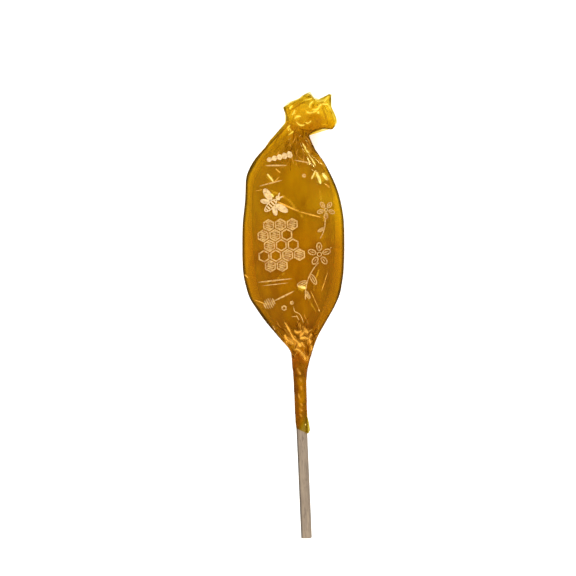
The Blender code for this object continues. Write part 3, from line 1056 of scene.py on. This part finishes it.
# Cellophane folded flat on itself, and painted shade: nothing scatters in it, so it only darkens what is
# below.
FOLD_SHADE = "#cfc39c"
folded_and_shaded, tree = new_material("folded_and_shaded_cellophane")
fold_and_shade_tint = add_node(
    tree,
    "Mix",
    {"Factor": soft_share(tree, 0.0)},
    {6: (1.0, 1.0, 1.0, 1.0), 7: linear(FOLD_SHADE)},
    data_type="RGBA",
)
darkened = add_node(tree, "BsdfTransparent", {"Color": fold_and_shade_tint.outputs[2]})
finish_material(tree, darkened)

# A ridge higher than this gets a cream painted highlight and a faint painted sheen round it, a lower one an
# orange painted highlight.
CREAM_HIGHLIGHT_RIDGE = 0.35
RIDGE_WIDENING = 1.3
# Painted highlights along bent creases, as rows of (across, along) points with their widths: first those of
# the tuft.
TUFT_HIGHLIGHTS = (
    (((8.5, 160.5), (8.2, 161.4), (8.4, 162.4), (9.1, 162.9), (10.0, 163.4)), 0.65),
    (((6.8, 159.8), (7.6, 159.1), (8.3, 158.9), (9.3, 159.1), (9.8, 159.6), (11.2, 159.5)), 0.75),
    (((9.1, 160.3), (10.2, 160.1), (11.4, 160.5), (11.6, 161.3), (12.2, 161.8), (13.2, 162.3)), 1.0),
    (((11.3, 159.6), (11.6, 158.3)), 0.8),
    (((13.5, 162.4), (14.5, 163.8), (15.7, 165.3)), 0.55),
    (((12.8, 162.3), (14.1, 161.9), (15.6, 162.0)), 0.6),
    (((6.1, 163.9), (7.8, 164.1), (9.7, 164.4)), 0.4),
    (((7.3, 165.7), (8.2, 165.8), (9.1, 166.2)), 0.4),
    (((0.4, 162.8), (2.9, 164.0), (4.8, 164.7), (6.6, 165.9)), 0.6),
    (((2.9, 156.4), (3.4, 155.3), (4.4, 154.5), (5.5, 154.4), (6.4, 155.0)), 0.6),
    (((0.6, 160.6), (1.3, 161.7), (2.2, 162.4)), 0.5),
    (((1.3, 158.4), (2.1, 159.1), (2.7, 160.2), (2.3, 160.6)), 0.75),
    (((2.3, 156.7), (3.0, 157.7), (4.1, 158.0), (5.1, 157.7)), 0.7),
    (((-0.7, 153.5), (0.2, 154.3), (0.9, 155.0)), 0.5),
    (((-0.2, 152.6), (0.7, 153.6)), 1.1),
    (((-0.4, 150.9), (0.7, 151.6), (2.0, 152.6)), 0.45),
    (((6.2, 155.8), (7.2, 155.1), (8.4, 155.8), (8.7, 156.4)), 0.5),
)
COLLAR_HIGHLIGHTS = (
    (((0.5, 74.6), (1.0, 75.0), (1.6, 75.2), (2.7, 75.2), (3.7, 74.8), (4.6, 74.8)), 1.3),
    (((4.3, 75.0), (4.5, 73.7), (4.8, 72.4)), 0.7),
    (((4.7, 72.7), (4.8, 71.5), (5.1, 69.8)), 1.1),
    (((4.2, 74.8), (4.8, 75.8), (5.4, 76.6)), 1.0),
    (((2.1, 78.4), (2.7, 78.6), (3.0, 77.9), (3.4, 77.2), (4.3, 76.9)), 1.3),
    (((3.0, 77.9), (2.3, 77.0), (1.5, 76.3), (0.9, 75.4)), 0.9),
    (((-4.5, 81.5), (-3.5, 79.2), (-2.6, 77.1), (-1.8, 75.3), (-0.5, 74.2)), 0.7),
    (((-4.9, 75.9), (-4.2, 75.1), (-3.3, 74.5), (-2.4, 73.8), (-1.5, 72.4)), 1.7),
    (((-2.1, 75.5), (-0.9, 74.4), (0.0, 73.6), (0.7, 72.6), (1.4, 71.5)), 1.2),
    (((0.1, 73.3), (0.6, 72.6), (1.1, 71.7)), 1.7),
    (((-1.9, 70.7), (-1.3, 71.0), (-0.7, 71.1), (0.2, 70.6), (1.0, 70.0), (1.7, 69.0),
      (2.3, 67.7), (2.6, 66.0)), 1.1),
    (((1.3, 73.9), (1.7, 72.7), (2.2, 71.9), (3.1, 71.5)), 0.8),
    (((-4.9, 76.8), (-4.6, 76.0), (-4.6, 75.1)), 0.7),
    (((-4.4, 74.3), (-4.0, 73.2)), 0.7),
    (((3.3, 68.5), (3.4, 67.4), (3.5, 65.9)), 0.7),
    (((-1.4, 78.4), (-0.4, 77.3), (1.0, 77.4), (1.9, 78.3)), 1.0),
)
SLEEVE_HIGHLIGHTS = (
    (((-0.8, 64.2), (0.6, 61.0)), 1.2),
    (((-0.2, 60.4), (0.9, 58.5)), 1.3),
    (((0.3, 57.4), (0.7, 55.5)), 0.9),
    (((-0.7, 54.8), (-0.4, 52.9), (0.4, 51.4)), 0.9),
    (((-0.2, 50.9), (0.8, 49.4)), 0.9),
    (((-0.7, 49.2), (0.7, 47.5)), 1.1),
    (((-0.6, 46.9), (0.5, 45.4)), 1.0),
)
BELLY_HIGHLIGHTS = (
    (((-1.2, 87.5), (-0.8, 85.1), (1.1, 84.2), (1.8, 82.7), (2.5, 80.4)), 0.35),
    (((-2.2, 83.2), (0.7, 83.3)), 0.3),
    (((-0.3, 83.9), (0.9, 81.6)), 0.3),
    (((-9.3, 80.4), (-8.2, 78.3)), 0.4),
    (((8.2, 85.7), (8.6, 84.6)), 0.5),
)
# A painted glint where the winding's last turn ends.
SLEEVE_GLINTS = ((((1.1, 42.6), (1.8, 42.6)), 0.75),)
# Broad faint folds of the belly, given a painted sheen that makes them a little paler.
BELLY_SHEEN_BANDS = (
    (((-9.5, 131.5), (-2.0, 127.5), (5.5, 118.0)), 1.6),
    (((9.3, 101.0), (7.6, 96.5), (6.6, 92.0)), 1.2),
    (((1.8, 93.5), (4.8, 89.0), (7.6, 84.0)), 0.9),
    (((10.5, 131.0), (11.5, 124.0), (12.0, 116.0)), 1.8),
    (((-3.0, 100.5), (-7.0, 97.0), (-12.5, 96.0)), 1.2),
)
# Dark strips where the film is folded flat on itself, and painted shade beside folds, such as the shadow
# under the collar's bright bar.
DARK_FOLDS_AND_SHADE = (
    (((9.6, 162.4), (9.5, 161.4), (9.9, 160.6)), 1.3),
    (((6.5, 164.9), (7.8, 165.1), (9.5, 165.0)), 1.0),
    (((16.4, 165.0), (16.0, 163.7), (15.9, 162.2)), 0.6),
    (((-1.2, 161.9), (-0.8, 159.9), (-0.6, 157.7), (-0.1, 156.4)), 0.9),
    (((-0.8, 161.8), (0.4, 161.4), (0.8, 159.7), (0.4, 158.4)), 0.9),
    (((3.2, 153.6), (4.7, 153.1), (6.2, 152.6), (8.4, 152.4), (11.4, 152.8), (14.4, 153.0),
      (16.5, 153.2)), 0.7),
    (((11.7, 160.8), (12.1, 159.9)), 0.7),
    (((5.1, 153.3), (5.5, 152.0), (4.9, 149.6)), 1.2),
    (((6.2, 152.9), (6.5, 151.0), (7.7, 148.7), (9.4, 145.6)), 0.8),
    (((2.8, 153.4), (1.8, 151.2), (1.4, 147.8)), 0.6),
    (((0.8, 73.6), (1.9, 74.0), (3.6, 73.8)), 0.9),
    (((-2.6, 74.8), (-1.8, 75.5), (-0.5, 74.8)), 0.7),
    (((-1.3, 77.8), (-1.1, 76.2)), 0.6),
    (((1.8, 76.0), (3.1, 75.9), (4.1, 75.6)), 0.5),
    (((5.5, 77.5), (6.3, 75.5), (6.8, 73.6)), 0.9),
)
# Between them run fine ones, drawn as faint painted highlights and as dark folds: the place that they run out
# of, which way, how far to its sides, how many, and how far off, how long and how wide the shortest and the
# longest are.
COLLAR_FOOT = (0.5, 60.0)
NECK_TWIST = (3.0, 156.0)
TUFT_FOOT = (4.2, 150.0)
FINE_COLLAR = (COLLAR_FOOT, math.radians(90), 0.42, 34, (7, 20), (1.5, 5.0), (0.3, 0.7))
FINE_NECK = (NECK_TWIST, math.radians(-90), 0.6, 20, (5, 15), (2.0, 7.0), (0.25, 0.5))
FINE_TUFT = (TUFT_FOOT, math.radians(63), 0.95, 34, (4, 15), (1.0, 4.0), (0.3, 0.8))


def scattered_creases(draw, centre, facing, spread, count, distances, lengths, widths):
    """Fine bent creases scattered round the lines that run out of a gathered place, with their widths."""
    made = []
    for _ in range(count):
        turn = facing + draw.uniform(-spread, spread)
        start = centre + draw.uniform(*distances) * heading(turn)
        points = [start]
        step = draw.uniform(*lengths) / 3
        for _ in range(3):
            turn += draw.uniform(-0.6, 0.6)
            points.append(points[-1] + step * heading(turn))
        made.append((points, draw.uniform(*widths)))
    return made


def ribbons(*rows):
    """Ribbons along bent lines: each row has their material, the lines with their widths, and a widening."""
    return [
        ribbon(points, widening * width, material)
        for material, creases, widening in rows
        for points, width in creases
    ]


draw = random.Random(FILM_SEED)
highlight_strips = ribbons(
    (DULL_HIGHLIGHT, scattered_creases(draw, *FINE_COLLAR), 1.0),
    (DULL_HIGHLIGHT, scattered_creases(draw, *FINE_NECK), 1.0),
    (FAINT_YELLOW_SHEEN, scattered_creases(draw, *FINE_TUFT), 1.0),
    (YELLOW_HIGHLIGHT, TUFT_HIGHLIGHTS, 1.35),
    (ORANGE_HIGHLIGHT, COLLAR_HIGHLIGHTS, 1.1),
    (DULL_HIGHLIGHT, SLEEVE_HIGHLIGHTS, 1.0),
    (TAN_HIGHLIGHT, BELLY_HIGHLIGHTS, 1.1),
    (CREAM_HIGHLIGHT, SLEEVE_GLINTS, 1.0),
)
for start, end, _, ridge, width in UPPER_CREASES_AND_HIGHLIGHTS:
    material = CREAM_HIGHLIGHT if ridge > CREAM_HIGHLIGHT_RIDGE else ORANGE_HIGHLIGHT
    highlight_strips.append(ribbon((start, end), RIDGE_WIDENING * width, material))
# Those of the tuft, the collar and the bag's higher ridges get a faint painted sheen over a wider strip as
# well.
high_ridges = [(row[:2], row[4]) for row in UPPER_CREASES_AND_HIGHLIGHTS if row[3] > CREAM_HIGHLIGHT_RIDGE]
sheen_strips = ribbons(
    (FAINT_YELLOW_SHEEN, TUFT_HIGHLIGHTS, 3.0),
    (FAINT_ORANGE_SHEEN, COLLAR_HIGHLIGHTS, 2.4),
    (FAINT_GOLDEN_SHEEN, BELLY_SHEEN_BANDS, 1.0),
    (FAINT_YELLOW_SHEEN, high_ridges, 4.0),
)
folds = ribbons(
    (folded_and_shaded, DARK_FOLDS_AND_SHADE, 1.0),
    (folded_and_shaded, scattered_creases(draw, *FINE_COLLAR), 1.3),
    (folded_and_shaded, scattered_creases(draw, *FINE_NECK), 1.3),
)
for name, strips, gap in (
    ("dark_folds_and_shade", folds, 0.02),
    ("painted_sheen", sheen_strips, 0.03),
    ("painted_highlights", highlight_strips, 0.04),
):
    pressed_strips = press_on_film(strips, name, gap * MM)
    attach(pressed_strips, "root")


# The print on the film is in two inks, cream and tan, with plain ornaments of the trade: honeycomb, a bee,
# a dipper, blossoms on stems and thin rules. It lies on the outer face, thin and a little rubbed.
CELL_PITCH = 4.4
CELL_SIZE = 4.7
INK_STROKE = 0.50
INK_PATCH = 1.1 * MM
BARE_TINT = "#ffe090"
PRINT_SEED = 4
COMB_CENTRE = (-4.6, 110.0)
COMB_REACH = (7.8, 11.5)
# The share of the comb's cells that are left out, and of the others the share that is hatched.
COMB_GAPS = 0.1
COMB_HATCHED = 0.75
HATCHES = 5
HATCH_TOP = 1.3
HATCH_STEP = 0.65
HATCH_RISE = 0.3
# Thin rules, each with both ends and its width, and small hexagons, each with its place and size.
THIN_RULES = (
    ((-14.0, 96.6), (-1.0, 97.4), 0.55),
    ((-12.5, 95.2), (-2.5, 95.9), 0.35),
    ((-9.5, 140.0), (-1.0, 139.6), 0.6),
    ((1.5, 141.5), (8.5, 140.0), 0.5),
    ((-12.0, 132.4), (-3.0, 134.2), 0.5),
)
SMALL_HEXAGONS = (((-4.6, 86.6), 2.2), ((-1.6, 88.4), 1.6), ((5.0, 135.5), 1.6))
INK_GAP = 0.06 * MM


def blossom(centre, size, turn):
    """Five rimmed petals round a ringed heart, and the veins of the petals."""
    shapes = [flat_shape(12, centre, 0.42 * size, 0.42 * size, 0, INK_STROKE * 0.7)]
    for i in range(5):
        way = turn + 2 * math.pi * i / 5
        out = heading(way)
        petal = centre + out * 0.62 * size
        shapes.append(flat_shape(20, petal, 0.72 * size, 0.48 * size, way, INK_STROKE * 0.8))
        shapes.append(flat_line(4, centre + out * 0.34 * size, centre + out * 0.80 * size, INK_STROKE))
    return shapes


def bee(centre, size, facing):
    """A bee seen from above: a head with feelers, a striped body and two pairs of filled wings."""
    way = heading(facing)
    head = centre + way * 0.38 * size
    shapes = [
        flat_shape(12, head, 0.18 * size, 0.22 * size, facing),
        flat_shape(24, centre - way * 0.08 * size, 0.74 * size, 0.32 * size, facing, INK_STROKE * 0.7),
    ]
    for step, width in ((0.18, 0.22), (0.05, 0.28), (-0.08, 0.28), (-0.21, 0.26), (-0.33, 0.18)):
        at = centre + way * step * size
        shapes.append(flat_shape(10, at, width * size, 0.07 * size, facing + math.pi / 2))
    for side in (1, -1):
        for spread, length, breadth in ((1.35, 0.62, 0.30), (2.15, 0.44, 0.22)):
            turn = facing + side * spread
            middle = centre + way * 0.08 * size + heading(turn) * (0.14 + length / 2) * size
            shapes.append(flat_shape(20, middle, length * size, breadth * size, turn))
        feeler = 0.26 * size * heading(facing + side * 0.5)
        shapes.append(flat_line(8, head, head + feeler, INK_STROKE))
    return shapes


def dipper(centre, size, facing):
    """A honey dipper: a ridged head that points the facing way, on a long handle."""
    way = heading(facing)
    shapes = [flat_line(8, centre, centre - way * size, INK_STROKE * 1.3)]
    for ridge in range(6):
        breadth = size * (0.20 + 0.30 * math.sin(math.pi * (ridge + 0.7) / 6.4))
        at = centre + way * 0.09 * size * ridge
        shapes.append(flat_shape(12, at, breadth, 0.06 * size, facing + math.pi / 2))
    return shapes


def printing_ink(name, dark, bright, least_bare, most_bare):
    """Printing ink: a thin matt coat that lets some amber through and is rubbed in patches."""
    made, tree = new_material(name)
    spot = add_node(tree, "TexCoord").outputs["Object"]
    patches = add_node(tree, "TexNoise", {"Vector": spot}, {"Scale": 1 / INK_PATCH, "Detail": 4.0})
    tone = add_node(
        tree,
        "Mix",
        {"Factor": patches.outputs["Fac"]},
        {6: linear(dark), 7: linear(bright)},
        data_type="RGBA",
    )
    coat = add_node(tree, "BsdfDiffuse", {"Color": tone.outputs[2]})
    bare = add_node(tree, "BsdfTransparent", values={"Color": linear(BARE_TINT)})
    rubbed = add_node(
        tree,
        "MapRange",
        {"Value": patches.outputs["Fac"]},
        {"From Min": 0.40, "From Max": 0.66, "To Min": least_bare, "To Max": most_bare},
    )
    mixed = add_node(tree, "MixShader", {0: rubbed, 1: coat, 2: bare})
    finish_material(tree, mixed)
    return made


def inked(shapes, ink):
    """The shapes, each in the ink."""
    for shape in shapes:
        shape.data.materials.append(ink)
    return shapes


def sprig(start, end, bow, leaves):
    """A bowed stem between two points, with pointed leaves along it."""
    span = np.subtract(end, start)
    aside = np.array((-span[1], span[0])) / math.hypot(*span)
    bend = [start + span * t + aside * bow * 4 * t * (1 - t) for t in np.linspace(0, 1, 9)]
    shapes = [flat_line(8, a, b + (b - a) * 0.15, INK_STROKE) for a, b in zip(bend, bend[1:])]
    facing = math.atan2(span[1], span[0])
    for t, length, side in leaves:
        root = start + span * t + aside * bow * 4 * t * (1 - t)
        turn = facing + side * 0.85
        tip = root + length * heading(turn)
        middle = (root + tip) / 2
        shapes.append(flat_shape(16, middle, length, 0.42 * length, turn, INK_STROKE * 0.7))
        shapes.append(flat_line(4, root, tip, INK_STROKE * 0.9))
    return shapes


draw = random.Random(PRINT_SEED)
tan_shapes = []
for row in range(-4, 5):
    for column in range(-3, 4):
        x = CELL_PITCH * (column + 0.5 * (row % 2))
        y = CELL_PITCH * math.sqrt(0.75) * row
        inside = (x / COMB_REACH[0]) ** 2 + (y / COMB_REACH[1]) ** 2 < 1
        if not inside or draw.random() < COMB_GAPS:
            continue
        centre = np.add(COMB_CENTRE, (x, y))
        tan_shapes.append(flat_shape(6, centre, CELL_SIZE, CELL_SIZE, 0, INK_STROKE))
        if draw.random() < COMB_HATCHED:
            for i in range(HATCHES):
                level = HATCH_TOP - HATCH_STEP * i
                half = 1.75 - 0.55 * abs(level)
                ends = (centre + (-half, level - HATCH_RISE), centre + (half, level + HATCH_RISE))
                tan_shapes.append(flat_line(8, *ends, INK_STROKE))
tan_shapes += blossom((9.4, 106.0), 4.6, 0.3)
tan_shapes += sprig((9.0, 103.0), (3.5, 89.5), -1.6, ((0.35, 4.6, 1), (0.55, 4.2, -1), (0.8, 3.4, 1)))
tan_shapes += blossom((12.6, 122.5), 3.6, 0.9)
tan_shapes += sprig((12.0, 120.0), (10.0, 112.0), 0.8, ((0.5, 3.0, -1),))
tan_shapes += dipper((-8.3, 89.3), 8.5, math.radians(204))
tan_shapes += [flat_line(8, *rule) for rule in THIN_RULES]
for centre, size in SMALL_HEXAGONS:
    tan_shapes.append(flat_shape(6, centre, size, size, draw.uniform(0, 1), INK_STROKE))
cream_shapes = bee((-7.4, 125.4), 8.4, 0.75)
for i in range(5):
    cream_shapes.append(flat_shape(6, (-7.6 + 1.9 * i, 142.2 + 0.35 * i), 2.1, 1.9 + 0.25 * i, 0.3))
TAN_INK = printing_ink("tan_printing_ink", "#c8964c", "#e4c480", least_bare=0.15, most_bare=0.70)
CREAM_INK = printing_ink("cream_printing_ink", "#deb06c", "#f6e2ae", least_bare=0.12, most_bare=0.60)
ink = press_on_film(inked(tan_shapes, TAN_INK) + inked(cream_shapes, CREAM_INK), "print", INK_GAP)
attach(ink, "root")
